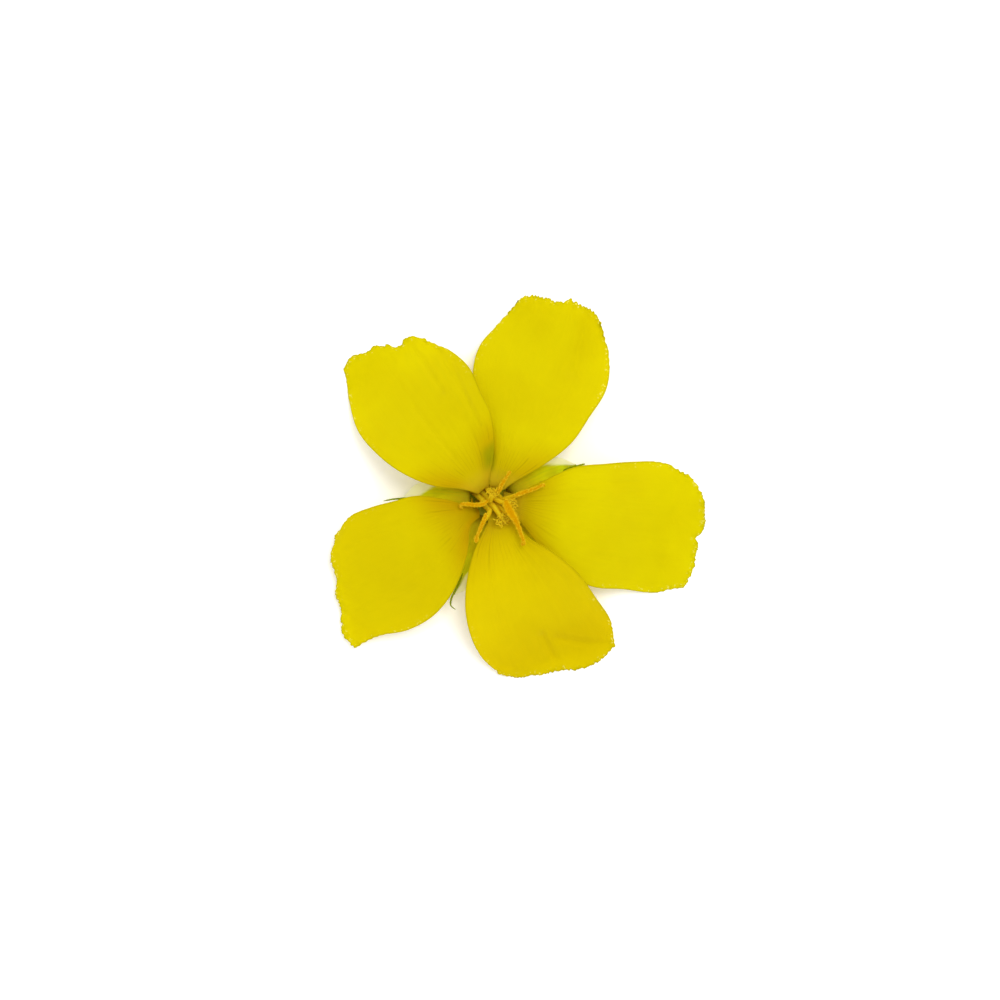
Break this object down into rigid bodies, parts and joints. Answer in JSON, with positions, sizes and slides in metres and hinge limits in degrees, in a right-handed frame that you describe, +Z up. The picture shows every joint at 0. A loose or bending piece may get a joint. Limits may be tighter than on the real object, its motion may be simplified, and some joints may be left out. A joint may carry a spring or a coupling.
{
  "type": "damiana flower",
  "caption": "Picked yellow flower lying face up: broad ragged petals on narrow claws, green awned calyx, orange curved anthers and brush-tipped styles in its throat.",
  "frame": {"origin": "middle of the flower's footprint, on the surface that it lies on", "axes": "+Z up out of the open face, +Y towards the far petal, +X to the right as seen from above"},
  "size_m": [0.0492, 0.0501, 0.0099],
  "materials": {
    "petal": "soft satin petal",
    "calyx": "matte green, finely hairy",
    "filament": "soft satin",
    "anther": "matte pollen",
    "style": "soft satin",
    "ovary": "matte green"
  },
  "bodies": {
    "root": {"petal_1": "petal", "petal_2": "petal", "petal_3": "petal", "petal_4": "petal", "petal_5": "petal", "calyx": "calyx", "ovary": "ovary", "style_1": "style", "style_2": "style", "style_3": "style", "filament_1": "filament", "filament_2": "filament", "filament_3": "filament", "filament_4": "filament", "filament_5": "filament", "anther_1": "anther", "anther_2": "anther", "anther_3": "anther", "anther_4": "anther", "anther_5": "anther"}
  },
  "joints": []
}
